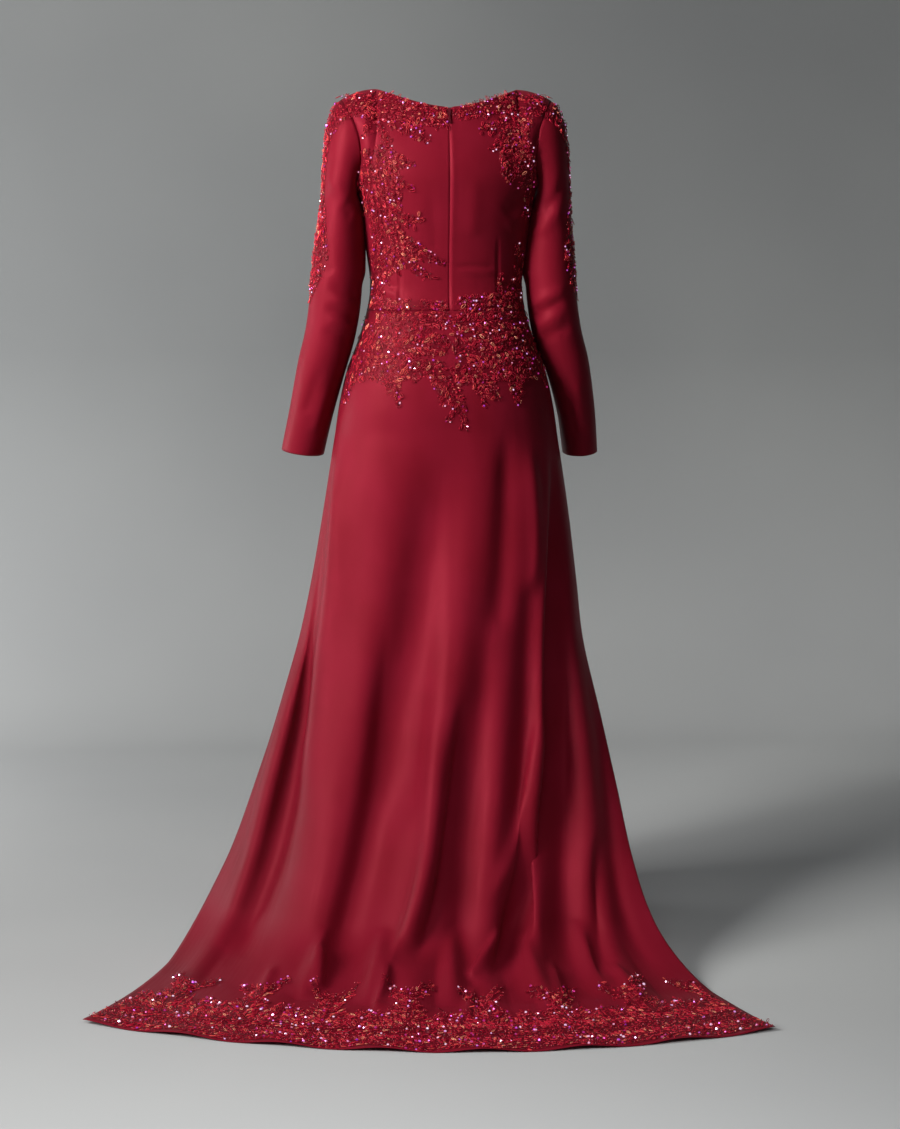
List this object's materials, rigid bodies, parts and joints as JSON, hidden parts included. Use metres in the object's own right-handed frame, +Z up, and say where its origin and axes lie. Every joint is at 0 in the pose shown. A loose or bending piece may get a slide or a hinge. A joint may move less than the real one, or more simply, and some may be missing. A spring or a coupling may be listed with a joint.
{
  "type": "ao dai tunic",
  "caption": "Long-sleeved ao dai tunic with a fitted bodice, back zip, loose front panel and a back panel that runs out into a lace-bordered train.",
  "frame": {"origin": "middle of the neck opening on the shoulder line, where the wearer's shoulders carry the garment; the floor the train lies on is 1.425 m below it", "axes": "+Z up, -Y the way the wearer faces, so +Y is the back with its zip and train, +X the wearer's left"},
  "size_m": [1.0372, 0.9208, 1.4324],
  "materials": {
    "satin": "wine-red satin-backed crepe with a soft sheen",
    "lace": "corded and beaded lace applique in the cloth's red",
    "zip_cloth": "woven zip tape, matt",
    "zip_metal": "lacquered to match the cloth"
  },
  "bodies": {
    "gown": {"bodice_back_left": "satin", "bodice_back_right": "satin", "bodice_front": "satin", "skirt_back": "satin", "skirt_front": "satin", "sleeve_left": "satin", "sleeve_right": "satin", "lace_back_left": "lace", "lace_back_right": "lace", "lace_waist_right": "lace", "lace_front_left": "lace", "lace_front_right": "lace", "lace_hip_back": "lace", "lace_hip_front": "lace", "lace_sleeve_left": "lace", "lace_sleeve_right": "lace", "lace_hem": "lace", "zip_tape": "zip_cloth", "zip_slider": "zip_metal"},
    "pull": {"zip_pull": "zip_metal"}
  },
  "joints": [
    {"name": "pull_swing", "type": "hinge", "parent": "gown", "child": "pull", "pos_m": [0, 0.07224, -0.03568], "axis": [1, 0, 0], "range_deg": [0, 150]}
  ]
}
